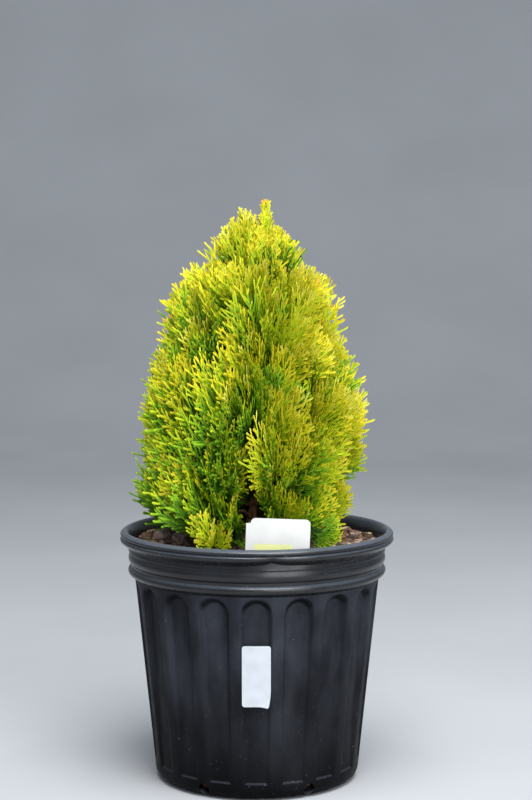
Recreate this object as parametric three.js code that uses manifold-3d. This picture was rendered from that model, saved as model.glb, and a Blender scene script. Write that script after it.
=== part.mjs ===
// A young golden thuja in a black nursery pot, in millimetres, +Z up.
// The origin is the centre of the pot's flat underside, and the front of the plant faces -Y.
import * as THREE from 'three';
import { mergeVertices } from 'three/addons/utils/BufferGeometryUtils.js';
import Module from 'manifold-3d';

const wasm = await Module();
wasm.setup();

// Pot
const POT_HEIGHT = 255;
const RIM_RADIUS = 140;
const COLLAR_RADIUS = 131;
const RING_RADIUS = 131.5;
const WALL_TOP_RADIUS = 125;
const WALL_FOOT_RADIUS = 104.3;
const UNDERSIDE_RADIUS = 94;
const WALL = 3;
const FLOOR = 3;
const COLLAR_DROP = 32;
const RING_DROP = 46;
const FOOT_HEIGHT = 10;
const POT_SIDES = 40;
const FLUTES = 18;
const FLUTE_LAND = 13;
const FLUTE_DEPTH = 1.8;
const FLUTE_TOP = POT_HEIGHT - 50;
const FLUTE_FOOT = 16;
const FLUTE_ARCH = 15;
const FLUTE_CUT = 8;
const DRAIN_HOLES = 6;
const DRAIN_RADIUS = 6;
const DRAIN_LENGTH = 30;

// Potting soil and its bark chips
const CLEARANCE = 0.3;
const SOIL_EDGE = POT_HEIGHT - 14;
const SOIL_TOP = POT_HEIGHT - 10;
const SOIL_FLAT_RADIUS = 24;
const SOIL_SIDES = 20;
const CHIPS = 14;
const CHIP = { long: [5, 9], wide: [3.5, 6], thick: [2, 3], tilt: 0.3, proud: [2, 4] };
const CHIP_RING = [84, 114];
const CHIP_TOP = SOIL_EDGE + 9;

// Plant label on its stake, and the blank price sticker
const LABEL_WIDTH = 62;
const LABEL_STEP = 4.3;
const LABEL_LEFT = -11;
const LABEL_TOP = POT_HEIGHT + 26.5;
const LABEL_FOOT = SOIL_EDGE + 4;
const LABEL_CORNER = 5;
const LABEL_THICKNESS = 1;
const LABEL_FORWARD = 112;
const LABEL_TURN = THREE.MathUtils.degToRad(2);
const LABEL_ROOM = 3;
const STAKE_WIDTH = 12;
const STAKE_DEPTH = 60;
const STAKE_POINT = 8;
const STICKER_WIDTH = 28;
const STICKER_HEIGHT = 61.5;
const STICKER_MIDDLE = POT_HEIGHT - 127;
const STICKER_THICKNESS = 0.5;
const STICKER_CORNER = 2.5;

// Trunk
const TRUNK_FOOT = SOIL_TOP + CLEARANCE;
const TRUNK_TIP = 548;
const TRUNK_RADIUS = 5.4;
const TRUNK_TIP_RADIUS = 1.3;
const FLARE = 4.2;
const FLARE_HEIGHT = 7;
const TRUNK_LINE = [
  [-7, 0, TRUNK_FOOT],
  [-4.5, 0, 268],
  [1.5, 1, 306],
  [6, 2, 346],
  [3.5, 1, 392],
  [4, 0, 460],
  [6.5, 0, TRUNK_TIP],
];

// Crown: how far the sprays reach left and right of the pot's middle, by height above the rim
const CROWN_TOP = 339;
const CROWN_REACH = [
  [-12, 92, 80],
  [12, 117, 95],
  [50, 124, 101],
  [92, 117, 111],
  [137, 112, 111],
  [184, 102, 94],
  [223, 95, 85],
  [250, 85, 80],
  [268, 68, 59],
  [288, 49, 43],
  [310, 40, 32],
  [326, 25, 22],
  [CROWN_TOP, 4, 12],
];
const CROWN_LEAN = 13;
const CROWN_FOOT_SHIFT = -5;
const SPACE = 1;

// Tiers of foliage from the soil up. Each starts on a cone that rises from "inner" at the trunk
// to "outer" at the crown's outline, and ends where the next tier starts. Its boughs leave the
// trunk at "fork" and end at "reach", a share of the way out. The top tier grows on the trunk.
const TIERS = [
  { name: 'skirt', masses: 6, turn: 0, inner: 246, outer: 246, fork: 258, reach: 0.36 },
  { name: 'lower', masses: 5, turn: 14, inner: 268, outer: 314, fork: 281, reach: 0.36 },
  { name: 'middle', masses: 5, turn: 50, inner: 304, outer: 378, fork: 320, reach: 0.33 },
  { name: 'upper', masses: 4, turn: 20, inner: 352, outer: 441, fork: 370, reach: 0.28 },
  { name: 'top', masses: 4, turn: 62, inner: 412, outer: 503, fork: 436, reach: 0 },
];
const TOP_CONE = { inner: 520, outer: 578 };
const TRUNK_ROOM = 9;
const BOUGH_RADIUS = 2.6;
const BOUGH_TIP_RADIUS = 1.5;
const BOUGH_ROOT_GAP = 0.35;
const BOUGH_END_UP = 0.42;
const SWEEP = { level: 0.45, rise: 0.3 };
const STEM_RADIUS = 1.4;
const STEM_END = { up: 0.55, out: 0.7, bend: 0.4 };
const TWIG_RADIUS = 1;
const TWIG_TIP_RADIUS = 0.8;
const TWIG_DROOP = 3;

// A mass's twigs stand in columns and rows. Each holds three sprays: one at its end that turns up,
// and one to either side that turns down a little. Shares of the mass's width, height and reach.
const TWIGS = { columns: 2, rows: 2 };
const TOP_TWIGS = { columns: 1, rows: 3 };
const TWIG_FORK = [0.25, 0.8];
const TWIG_END = { across: 0.75, up: 0.6, lift: 0.1, out: [0.64, 0.7] };
const FAN_ROOT = { end: 0.9, side: [0.65, 0.85] };
const FAN = { across: 0.62, sway: 0.12, up: 0.3, down: 0.24, bob: [-0.06, 0.08], out: [0.95, 1] };
const FAN_TWIST = 0.9;
const LOWEST_TIP = 0.08;
const HIGHEST_TIP = 0.96;
const TRIM = { step: 0.09, least: 0.55, out: 0.4 };
const HEART = { wide: 0.9, tall: 0.44, middle: 0.58, deep: 0.19, boxy: 0.6 };
const LEADER = { sprays: 5, below: [12, 20], root: [0.1, 0.3], twist: 0.5, stem: 0.5 };

// Half of a spray's toothed outline, root to tip: along and across, as shares of its length
const SPRAY_TEETH = [
  [0, 0],
  [0.44, 0.2],
  [0.52, 0.09],
  [0.76, 0.17],
  [1, 0],
];
const SPRAY_MIDDLE = 0.44;
const SPRAY_THICKNESS = 3.2;

const FINISHES = {
  pot: { color: '#1d1f24', roughness: 0.45, metalness: 0 },
  soil: { color: '#4d3b31', roughness: 0.95, metalness: 0 },
  label: { color: '#f2f3ef', roughness: 0.5, metalness: 0 },
  bark: { color: '#6e4b35', roughness: 0.9, metalness: 0 },
  foliage: { color: '#a9b92c', roughness: 0.75, metalness: 0 },
};

const plant = new THREE.Group();
plant.name = 'potted_thuja';

// Solids

// Repeatable chance, so that the same plant grows every time.
function dice(seed) {
  let state = seed;
  return (low = 0, high = 1) => {
    state = (state * 48271) % 2147483647;
    return low + ((high - low) * state) / 2147483647;
  };
}

function solid(geometry) {
  const bare = geometry.clone();
  bare.deleteAttribute('normal');
  bare.deleteAttribute('uv');
  const merged = mergeVertices(bare, 1e-4);
  const corners = merged.index.array;
  const faces = [];
  for (let i = 0; i < corners.length; i += 3) {
    const [a, b, c] = corners.slice(i, i + 3);
    if (a !== b && b !== c && c !== a) faces.push(a, b, c);
  }
  const mesh = new wasm.Mesh({
    numProp: 3,
    vertProperties: new Float32Array(merged.attributes.position.array),
    triVerts: new Uint32Array(faces),
    tolerance: 0.01,
  });
  return new wasm.Manifold(mesh);
}

function join(pieces) {
  return pieces.map(solid).reduce((whole, piece) => whole.add(piece));
}

// The largest connected body: loose scraps and sealed hollows are dropped.
function largest(whole) {
  return whole.decompose().reduce((best, body) => (body.volume() > best.volume() ? body : best));
}

function geometryOf(whole) {
  const mesh = whole.getMesh();
  const geometry = new THREE.BufferGeometry();
  const places = new Float32Array(mesh.numVert * 3);
  for (let i = 0; i < mesh.numVert; i += 1) {
    places.set(mesh.vertProperties.subarray(i * mesh.numProp, i * mesh.numProp + 3), i * 3);
  }
  geometry.setAttribute('position', new THREE.BufferAttribute(places, 3));
  geometry.setIndex(new THREE.BufferAttribute(mesh.triVerts, 1));
  geometry.computeVertexNormals();
  return geometry;
}

function addNode(name, geometry, finish) {
  const mesh = new THREE.Mesh(geometry, new THREE.MeshStandardMaterial(FINISHES[finish]));
  mesh.name = name;
  plant.add(mesh);
}

// A turned shape standing on +Z, from a profile of [radius, height].
function turned(profile, sides) {
  const points = profile.map(([radius, height]) => new THREE.Vector2(radius, height));
  const geometry = new THREE.LatheGeometry(points, sides);
  return geometry.rotateX(Math.PI / 2).rotateZ(Math.PI / sides);
}

// A closed, tapering limb along a curve. radiusAt gives its radius at a share of its length.
function limb(curve, radiusAt, sides, steps, easing = 1) {
  const geometry = new THREE.CylinderGeometry(1, 1, 1, sides, steps);
  const places = geometry.attributes.position;
  const frames = curve.computeFrenetFrames(steps * 4);
  const place = new THREE.Vector3();
  for (let i = 0; i < places.count; i += 1) {
    const share = (places.getY(i) + 0.5) ** easing;
    const frame = Math.round(share * steps * 4);
    const radius = radiusAt(share);
    curve.getPoint(share, place);
    place.addScaledVector(frames.binormals[frame], places.getX(i) * radius);
    place.addScaledVector(frames.normals[frame], places.getZ(i) * radius);
    places.setXYZ(i, place.x, place.y, place.z);
  }
  return geometry;
}

// Pot

const wallSlope = (WALL_TOP_RADIUS - WALL_FOOT_RADIUS) / (POT_HEIGHT - RING_DROP - FOOT_HEIGHT);
const wallRadius = (height) => WALL_FOOT_RADIUS + wallSlope * (height - FOOT_HEIGHT);
const innerRadius = (height) => (
  height > POT_HEIGHT - COLLAR_DROP ? COLLAR_RADIUS - WALL : wallRadius(height) - WALL
);

function potShell() {
  const top = POT_HEIGHT;
  const outline = [
    [0, 0],
    [UNDERSIDE_RADIUS, 0],
    [WALL_FOOT_RADIUS - 2, 3.5],
    [WALL_FOOT_RADIUS, FOOT_HEIGHT],
    [WALL_TOP_RADIUS, top - RING_DROP],
    [RING_RADIUS - 1, top - RING_DROP + 1.5],
    [RING_RADIUS, top - 39.5],
    [RING_RADIUS - 1, top - 34.5],
    [COLLAR_RADIUS - 1.5, top - COLLAR_DROP],
    [COLLAR_RADIUS, top - 13],
    [RIM_RADIUS - 1, top - 8],
    [RIM_RADIUS, top - 6],
    [RIM_RADIUS - 2.5, top - 3.6],
    [RIM_RADIUS - 0.8, top - 1.8],
    [RIM_RADIUS - 3, top],
    [COLLAR_RADIUS + 1.5, top],
    [COLLAR_RADIUS - WALL, top - 4],
    [innerRadius(top - COLLAR_DROP + 0.1), top - COLLAR_DROP],
    [innerRadius(top - RING_DROP), top - RING_DROP],
    [innerRadius(FOOT_HEIGHT), FOOT_HEIGHT],
    [UNDERSIDE_RADIUS, FLOOR],
    [0, FLOOR],
  ];
  return turned(outline, POT_SIDES);
}

// One arch-topped panel, drawn flat, laid on the wall's slope and turned to its place.
function flute(turn) {
  const pitch = (radius) => (2 * Math.PI * radius) / FLUTES;
  const foot = pitch(wallRadius(FLUTE_FOOT)) - FLUTE_LAND;
  const head = pitch(wallRadius(FLUTE_TOP)) - FLUTE_LAND;
  const rise = (FLUTE_TOP - FLUTE_FOOT) * Math.hypot(1, wallSlope);
  const outline = new THREE.Shape();
  outline.moveTo(-foot / 2, 0);
  outline.lineTo(foot / 2, 0);
  outline.lineTo(head / 2, rise - FLUTE_ARCH);
  outline.absellipse(0, rise - FLUTE_ARCH, head / 2, FLUTE_ARCH, 0, Math.PI);
  outline.closePath();
  const panel = new THREE.ExtrudeGeometry(outline, {
    depth: FLUTE_CUT,
    bevelEnabled: false,
    curveSegments: 3,
  });
  panel.rotateX(Math.PI / 2 + Math.atan(wallSlope));
  panel.translate(0, -wallRadius(FLUTE_FOOT) + FLUTE_DEPTH, FLUTE_FOOT);
  return panel.rotateZ(turn);
}

function drain(turn) {
  const hole = new THREE.CylinderGeometry(DRAIN_RADIUS, DRAIN_RADIUS, DRAIN_LENGTH, 6);
  return hole.translate(0, -WALL_FOOT_RADIUS, FLOOR + DRAIN_RADIUS).rotateZ(turn);
}

function makePot() {
  let pot = solid(potShell());
  for (let i = 0; i < FLUTES; i += 1) {
    pot = pot.subtract(solid(flute((2 * Math.PI * i) / FLUTES)));
  }
  for (let i = 0; i < DRAIN_HOLES; i += 1) {
    pot = pot.subtract(solid(drain((2 * Math.PI * (i + 0.5)) / DRAIN_HOLES)));
  }
  addNode('pot', geometryOf(largest(pot)), 'pot');
}

// Soil

const soilHeight = (radius) => {
  const share = (radius - SOIL_FLAT_RADIUS) / (COLLAR_RADIUS - WALL - SOIL_FLAT_RADIUS);
  return SOIL_TOP - (SOIL_TOP - SOIL_EDGE) * Math.max(0, share);
};

function barkChip(roll) {
  const chip = new THREE.IcosahedronGeometry(1, 0);
  chip.scale(roll(...CHIP.long), roll(...CHIP.wide), roll(...CHIP.thick));
  chip.rotateX(roll(-CHIP.tilt, CHIP.tilt)).rotateZ(roll(0, Math.PI));
  const radius = roll(...CHIP_RING);
  const turn = roll(0, 2 * Math.PI);
  return chip.translate(
    radius * Math.cos(turn),
    radius * Math.sin(turn),
    SOIL_EDGE + roll(...CHIP.proud),
  );
}

function makeSoil() {
  const gap = CLEARANCE + 0.1;
  const outline = [
    [0, FLOOR + gap],
    [UNDERSIDE_RADIUS - gap, FLOOR + gap],
    [innerRadius(FOOT_HEIGHT) - gap, FOOT_HEIGHT + gap],
    [innerRadius(POT_HEIGHT - RING_DROP) - gap, POT_HEIGHT - RING_DROP],
    [COLLAR_RADIUS - WALL - gap, POT_HEIGHT - COLLAR_DROP + gap],
    [COLLAR_RADIUS - WALL - gap, SOIL_EDGE],
    [SOIL_FLAT_RADIUS, SOIL_TOP],
    [0, SOIL_TOP],
  ];
  let soil = solid(turned(outline, SOIL_SIDES));
  const roll = dice(4711);
  for (let i = 0; i < CHIPS; i += 1) soil = soil.add(solid(barkChip(roll)));
  const slot = placeLabel(new THREE.BoxGeometry(
    STAKE_WIDTH + 2 * CLEARANCE,
    LABEL_THICKNESS + 2 * CLEARANCE,
    2 * STAKE_DEPTH + 2 * CLEARANCE,
  ));
  addNode('potting_soil', geometryOf(largest(soil.subtract(solid(slot)))), 'soil');
}

// Label and sticker

// The label is drawn about the point where its stake enters the soil, and leans to one side.
function placeLabel(geometry) {
  return geometry.rotateY(LABEL_TURN).translate(LABEL_LEFT + LABEL_WIDTH / 2, -LABEL_FORWARD, SOIL_EDGE);
}

function makeLabel() {
  const left = -LABEL_WIDTH / 2;
  const right = LABEL_WIDTH / 2;
  const shoulder = left + LABEL_STEP;
  const foot = LABEL_FOOT - SOIL_EDGE;
  const corner = LABEL_TOP - SOIL_EDGE - LABEL_CORNER;
  const card = new THREE.Shape();
  card.moveTo(left, foot);
  card.lineTo(-STAKE_WIDTH / 2, foot);
  card.lineTo(-STAKE_WIDTH / 2, STAKE_POINT - STAKE_DEPTH);
  card.lineTo(0, -STAKE_DEPTH);
  card.lineTo(STAKE_WIDTH / 2, STAKE_POINT - STAKE_DEPTH);
  card.lineTo(STAKE_WIDTH / 2, foot);
  card.lineTo(right, foot);
  card.lineTo(right, corner);
  card.absarc(right - LABEL_CORNER, corner, LABEL_CORNER, 0, Math.PI / 2);
  card.absarc(shoulder + LABEL_CORNER, corner, LABEL_CORNER, Math.PI / 2, Math.PI);
  card.lineTo(left, corner);
  card.closePath();
  const label = new THREE.ExtrudeGeometry(card, {
    depth: LABEL_THICKNESS,
    bevelEnabled: false,
    curveSegments: 2,
  });
  label.rotateX(Math.PI / 2).translate(0, LABEL_THICKNESS / 2, 0);
  addNode('plant_label', placeLabel(label), 'label');
}

// The sticker bridges the front flute, held on the lands at either side.
function makeSticker() {
  const landEdge = (Math.PI * wallRadius(STICKER_MIDDLE)) / FLUTES - FLUTE_LAND / 2;
  const seat = Math.sqrt(wallRadius(STICKER_MIDDLE) ** 2 - landEdge ** 2);
  const half = STICKER_WIDTH / 2;
  const tall = STICKER_HEIGHT / 2;
  const outline = new THREE.Shape();
  outline.absarc(half - STICKER_CORNER, tall - STICKER_CORNER, STICKER_CORNER, 0, Math.PI / 2);
  outline.absarc(STICKER_CORNER - half, tall - STICKER_CORNER, STICKER_CORNER, Math.PI / 2, Math.PI);
  outline.absarc(STICKER_CORNER - half, STICKER_CORNER - tall, STICKER_CORNER, Math.PI, 1.5 * Math.PI);
  outline.absarc(half - STICKER_CORNER, STICKER_CORNER - tall, STICKER_CORNER, 1.5 * Math.PI, 2 * Math.PI);
  outline.closePath();
  const sticker = new THREE.ExtrudeGeometry(outline, {
    depth: STICKER_THICKNESS,
    bevelEnabled: false,
    curveSegments: 1,
  });
  sticker.rotateX(Math.PI / 2 + Math.atan(wallSlope));
  sticker.translate(0, -seat - CLEARANCE, STICKER_MIDDLE);
  addNode('pot_sticker', sticker, 'label');
}

// Crown outline, measured from a line that leans from the pot's middle to the leader

const crownAxis = (height) => (
  CROWN_FOOT_SHIFT + (CROWN_LEAN * (height - SOIL_TOP)) / (POT_HEIGHT + CROWN_TOP - SOIL_TOP)
);

function crownRadius(height, turn) {
  const above = THREE.MathUtils.clamp(height - POT_HEIGHT, CROWN_REACH[0][0], CROWN_TOP);
  const next = Math.max(1, CROWN_REACH.findIndex(([level]) => level >= above));
  const [low, lowLeft, lowRight] = CROWN_REACH[next - 1];
  const [high, highLeft, highRight] = CROWN_REACH[next];
  const share = (above - low) / (high - low);
  const left = lowLeft + (highLeft - lowLeft) * share + crownAxis(height);
  const right = lowRight + (highRight - lowRight) * share - crownAxis(height);
  return (left + right) / 2 + ((right - left) / 2) * Math.cos(turn);
}

const cones = [...TIERS, TOP_CONE];
const coneRadii = cones.map((cone) => crownRadius(cone.outer, Math.PI / 2));
const coneHeight = (index, radius) => {
  const { inner, outer } = cones[index];
  return inner + ((outer - inner) * radius) / coneRadii[index];
};

function cylindrical(point) {
  const x = point.x - crownAxis(point.z);
  return { radius: Math.hypot(x, point.y), turn: Math.atan2(point.y, x) };
}

// A mass's own room: a sector of one tier, between its two cones, outside its bough's tip.
class Room {
  constructor(tier, index) {
    const wedge = (2 * Math.PI) / TIERS[tier].masses;
    this.tier = tier;
    this.half = wedge / 2;
    this.middle = wedge * index + THREE.MathUtils.degToRad(TIERS[tier].turn);
  }

  // The height at a share of the way up the room, at a radius.
  heightAt(share, radius) {
    const low = Math.max(coneHeight(this.tier, radius), soilHeight(radius) + 3);
    return low + (coneHeight(this.tier + 1, radius) - low) * share;
  }

  // A place at shares of the room's width, height and reach.
  place(across, up, out) {
    const turn = this.middle + across * this.half;
    let radius = crownRadius(cones[this.tier].outer, turn) * out;
    for (let i = 0; i < 12; i += 1) {
      radius = (radius + crownRadius(this.heightAt(up, radius / out), turn) * out) / 2;
    }
    const height = this.heightAt(up, radius);
    return new THREE.Vector3(
      crownAxis(height) + radius * Math.cos(turn),
      radius * Math.sin(turn),
      height,
    );
  }

  holds(point, inner) {
    const { radius, turn } = cylindrical(point);
    const off = Math.abs(((turn - this.middle + 3 * Math.PI) % (2 * Math.PI)) - Math.PI);
    const floor = (radius > CHIP_RING[0] - SPACE ? CHIP_TOP : soilHeight(radius)) + SPACE;
    return radius > inner
      && off < this.half
      && radius * Math.sin(this.half - off) > SPACE
      && point.z > coneHeight(this.tier, radius) + SPACE
      && point.z < coneHeight(this.tier + 1, radius) - SPACE
      && point.z > floor
      && !nearLabel(point)
      && radius < crownRadius(point.z, turn) + 1;
  }
}

function nearLabel(point) {
  return point.y < -LABEL_FORWARD + LABEL_ROOM
    && point.x > LABEL_LEFT - LABEL_ROOM
    && point.x < LABEL_LEFT + LABEL_WIDTH + LABEL_ROOM
    && point.z < LABEL_TOP + LABEL_ROOM;
}

// Trunk and boughs

const trunkCurve = new THREE.CatmullRomCurve3(TRUNK_LINE.map((at) => new THREE.Vector3(...at)));

function trunkRadius(height) {
  const share = (height - TRUNK_FOOT) / (TRUNK_TIP - TRUNK_FOOT);
  const taper = TRUNK_RADIUS + (TRUNK_TIP_RADIUS - TRUNK_RADIUS) * share;
  return taper + FLARE * Math.exp(-(height - TRUNK_FOOT) / FLARE_HEIGHT);
}

function trunkAt(height) {
  let low = 0;
  let high = 1;
  for (let i = 0; i < 30; i += 1) {
    const middle = (low + high) / 2;
    if (trunkCurve.getPoint(middle).z < height) low = middle;
    else high = middle;
  }
  return trunkCurve.getPoint(low);
}

function makeTrunk() {
  const trunk = limb(trunkCurve, (share) => trunkRadius(trunkCurve.getPoint(share).z), 7, 12, 1.6);
  const places = trunk.attributes.position;
  for (let i = 0; i < places.count; i += 1) {
    if (places.getZ(i) < TRUNK_FOOT + 1) places.setZ(i, TRUNK_FOOT);
  }
  addNode('trunk', trunk, 'bark');
}

// A limb leaves the trunk level, just clear of its bark, and sweeps up to its end.
function sweep(height, end) {
  const root = trunkAt(height);
  const away = new THREE.Vector3(end.x - root.x, end.y - root.y, 0).normalize();
  const start = root.clone().addScaledVector(away, trunkRadius(height - BOUGH_RADIUS) + BOUGH_ROOT_GAP);
  const reach = Math.hypot(end.x - start.x, end.y - start.y);
  const under = new THREE.Vector3(end.x, end.y, start.z);
  return new THREE.CubicBezierCurve3(
    start,
    start.clone().addScaledVector(away, reach * SWEEP.level),
    end.clone().addScaledVector(away, -reach * SWEEP.rise).lerp(under, SWEEP.rise),
    end,
  );
}

const tapering = (from, to) => (share) => from + (to - from) * share;

// Foliage

// One flat spray: a disc of few sides whose rim is drawn out into teeth, thickest at its middle.
function spray(root, tip, twist) {
  const along = tip.clone().sub(root);
  const length = along.length();
  along.normalize();
  const outline = SPRAY_TEETH.concat(
    SPRAY_TEETH.slice(1, -1).reverse().map(([far, wide]) => [far, -wide]),
  );
  const geometry = new THREE.SphereGeometry(1, outline.length, 2);
  const places = geometry.attributes.position;
  for (let i = 0; i < places.count; i += 1) {
    const rim = i % (outline.length + 1);
    if (Math.abs(places.getY(i)) > 0.5) {
      places.setXYZ(i, 0, (Math.sign(places.getY(i)) * SPRAY_THICKNESS) / 2, 0);
    } else {
      const [far, wide] = outline[rim % outline.length];
      places.setXYZ(i, (far - SPRAY_MIDDLE) * length, 0, wide * length);
    }
  }
  const side = new THREE.Vector3(-along.y, along.x, 0).normalize();
  const flat = side.applyAxisAngle(along, twist);
  const third = new THREE.Vector3().crossVectors(along, flat);
  const turn = new THREE.Matrix4().makeBasis(along, flat, third);
  turn.setPosition(root.clone().addScaledVector(along, SPRAY_MIDDLE * length));
  return geometry.applyMatrix4(turn);
}

function fits(geometry, room, inner) {
  const places = geometry.attributes.position;
  const point = new THREE.Vector3();
  for (let i = 0; i < places.count; i += 1) {
    point.fromBufferAttribute(places, i);
    if (!room.holds(point, inner)) return false;
  }
  return true;
}

// Draws a spray, a little shorter each time, until it keeps to its room. None may fit.
function trimmed(room, inner, draw) {
  for (let trim = 1; trim > TRIM.least; trim -= TRIM.step) {
    const attempt = draw(trim);
    if (fits(attempt, room, inner)) return attempt;
  }
  return null;
}

// The dark heart of a mass: a squared-off ball bent to the room's own shape.
const boxy = (value) => Math.sign(value) * Math.abs(value) ** HEART.boxy;

function heart(room) {
  const ball = new THREE.SphereGeometry(1, 8, 4);
  const places = ball.attributes.position;
  for (let i = 0; i < places.count; i += 1) {
    const at = room.place(
      boxy(places.getX(i)) * HEART.wide,
      0.5 + boxy(places.getY(i)) * HEART.tall,
      HEART.middle + boxy(places.getZ(i)) * HEART.deep,
    );
    places.setXYZ(i, at.x, at.y, at.z);
  }
  return ball;
}

function growMass(room, stemCurve, inner, seed) {
  const { columns, rows } = TIERS[room.tier].reach > 0 ? TWIGS : TOP_TWIGS;
  const roll = dice(seed);
  const pieces = [limb(stemCurve, tapering(STEM_RADIUS, TWIG_RADIUS), 4, 3), heart(room)];
  for (let column = 0; column < columns; column += 1) {
    for (let row = 0; row < rows; row += 1) {
      const across = (2 * (column + 0.5)) / columns - 1;
      const up = (row + 0.5) / rows;
      const fork = stemCurve.getPoint(roll(...TWIG_FORK));
      const end = room.place(
        across * TWIG_END.across,
        up * TWIG_END.up + TWIG_END.lift,
        roll(...TWIG_END.out),
      );
      const elbow = fork.clone().lerp(end, 0.5);
      elbow.z -= TWIG_DROOP;
      const twig = new THREE.QuadraticBezierCurve3(fork, elbow, end);
      const wood = limb(twig, tapering(TWIG_RADIUS, TWIG_TIP_RADIUS), 3, 1);
      if (fits(wood, room, inner)) pieces.push(wood);
      for (const fan of [-1, 0, 1]) {
        const root = twig.getPoint(fan === 0 ? FAN_ROOT.end : roll(...FAN_ROOT.side));
        const blade = trimmed(room, inner, (trim) => {
          const rise = up + (fan === 0 ? FAN.up : -FAN.down) / rows + roll(...FAN.bob);
          const tip = room.place(
            (across + (fan * FAN.across + roll(-FAN.sway, FAN.sway)) / columns) * trim,
            THREE.MathUtils.clamp(rise, LOWEST_TIP, HIGHEST_TIP),
            roll(...FAN.out) * (1 - TRIM.out * (1 - trim)),
          );
          return spray(root, tip, roll(-FAN_TWIST, FAN_TWIST));
        });
        if (blade) pieces.push(blade);
      }
    }
  }
  return geometryOf(largest(join(pieces)));
}

function makeTier(tier) {
  const { name, masses, fork, reach } = TIERS[tier];
  for (let i = 0; i < masses; i += 1) {
    const room = new Room(tier, i);
    const label = `${name}_${i + 1}`;
    const seed = 1000 * (tier + 1) + 77 * i + 5;
    const end = room.place(0, STEM_END.up, STEM_END.out);
    let stem = sweep(fork, end);
    let inner = TRUNK_ROOM;
    if (reach > 0) {
      const tip = room.place(0, BOUGH_END_UP, reach);
      const line = sweep(fork, tip);
      const onward = line.getTangent(1);
      addNode(`bough_${label}`, limb(line, tapering(BOUGH_RADIUS, BOUGH_TIP_RADIUS), 5, 4), 'bark');
      const start = tip.clone().addScaledVector(onward, CLEARANCE);
      const bend = start.clone().addScaledVector(onward, start.distanceTo(end) * STEM_END.bend);
      stem = new THREE.QuadraticBezierCurve3(start, bend, end);
      inner = cylindrical(tip).radius + 2 * SPACE;
    }
    addNode(`foliage_${label}`, growMass(room, stem, inner, seed), 'foliage');
  }
}

// The leader goes on from the trunk's tip: one spray straight up and a ring of them round it.
function makeLeader() {
  const roll = dice(90210);
  const foot = trunkCurve.getPoint(1).add(new THREE.Vector3(0, 0, CLEARANCE));
  const top = POT_HEIGHT + CROWN_TOP;
  const peak = new THREE.Vector3(crownAxis(top), 0, top);
  const stem = new THREE.LineCurve3(foot, foot.clone().lerp(peak, LEADER.stem));
  const room = {
    holds(point) {
      const { radius, turn } = cylindrical(point);
      return point.z > foot.z
        && point.z > coneHeight(TIERS.length, radius) + SPACE
        && radius < crownRadius(point.z, turn) + 1;
    },
  };
  const pieces = [limb(stem, tapering(STEM_RADIUS, TWIG_RADIUS), 4, 1)];
  pieces.push(spray(foot.clone().lerp(peak, 0.25), peak, 0.4));
  for (let i = 0; i < LEADER.sprays; i += 1) {
    const turn = (2 * Math.PI * (i + 0.5)) / LEADER.sprays;
    const height = top - roll(...LEADER.below);
    const blade = trimmed(room, 0, (trim) => {
      const radius = crownRadius(height, turn) * trim;
      const tip = new THREE.Vector3(
        crownAxis(height) + radius * Math.cos(turn),
        radius * Math.sin(turn),
        height,
      );
      return spray(stem.getPoint(roll(...LEADER.root)), tip, roll(-LEADER.twist, LEADER.twist));
    });
    if (blade) pieces.push(blade);
  }
  addNode('foliage_leader', geometryOf(largest(join(pieces))), 'foliage');
}

makePot();
makeSoil();
makeLabel();
makeSticker();
makeTrunk();
TIERS.forEach((tier, index) => makeTier(index));
makeLeader();

export default plant;
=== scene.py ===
# A young golden thuja in its fluted nursery pot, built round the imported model.
# Sizes are written in millimetres, and MM turns them into metres. Only the floor, lights and camera
# are set out in metres. The front, with the label and the sticker, faces -Y.
from math import atan2, copysign, cos, exp, hypot, pi, radians, sin, sqrt

import bmesh
import bpy
import numpy as np
from mathutils import Matrix, Vector, noise


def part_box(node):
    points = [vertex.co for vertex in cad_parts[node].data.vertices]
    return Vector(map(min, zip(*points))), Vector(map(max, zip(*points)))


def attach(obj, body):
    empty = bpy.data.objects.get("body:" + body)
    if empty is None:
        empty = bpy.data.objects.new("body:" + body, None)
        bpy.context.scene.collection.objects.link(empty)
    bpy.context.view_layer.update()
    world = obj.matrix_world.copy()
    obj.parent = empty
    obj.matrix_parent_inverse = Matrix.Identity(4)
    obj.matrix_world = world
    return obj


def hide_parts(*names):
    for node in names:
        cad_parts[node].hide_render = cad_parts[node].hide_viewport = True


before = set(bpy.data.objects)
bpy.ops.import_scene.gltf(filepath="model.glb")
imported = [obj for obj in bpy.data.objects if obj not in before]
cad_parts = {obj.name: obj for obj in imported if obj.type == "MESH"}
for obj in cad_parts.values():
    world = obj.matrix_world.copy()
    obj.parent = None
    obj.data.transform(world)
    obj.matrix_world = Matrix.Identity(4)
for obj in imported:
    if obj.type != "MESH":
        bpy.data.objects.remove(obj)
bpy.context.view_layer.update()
MM = 0.001


# The pot
# A nursery container blown from black polypropylene: a thin tapering wall with arch-topped flutes
# all round, a ring, a plain collar and a double-beaded lip. One flute is drawn, and then repeated.
POT_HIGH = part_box("pot")[1]
POT_TOP = POT_HIGH.z / MM
LIP_RADIUS = POT_HIGH.x / MM
FLUTES = 18
FLUTE_PITCH = 2 * pi / FLUTES
FLUTE_COLUMNS, LAND_COLUMNS = 24, 2
FLUTE_LAND = 10.2
FLUTE_DEPTH, FLUTE_FADE = 6.8, 5.2
FLUTE_COVE, COVE_ROWS = 4.2, 4
HEAD_COVE, HEAD_MARGIN = 5.2, 1.3
FLUTE_TOP, FLUTE_FOOT = POT_TOP - 50, 16
FLUTE_ARCH = 15
FLOOR_ROWS, FLOOR_START = 7, 40
FLOOR_FLATNESS = 0.15
WHOLLY_INSIDE = 99
WALL_FOOT = (104.3, 10)
WALL_HEAD = (125, POT_TOP - 46)
LINER_HEAD, LINER_FOOT = 115.8, 97.8
DENT_PLACE, DENT_REACH, DENT_SPREAD = 14.6, 32, 10
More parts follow.
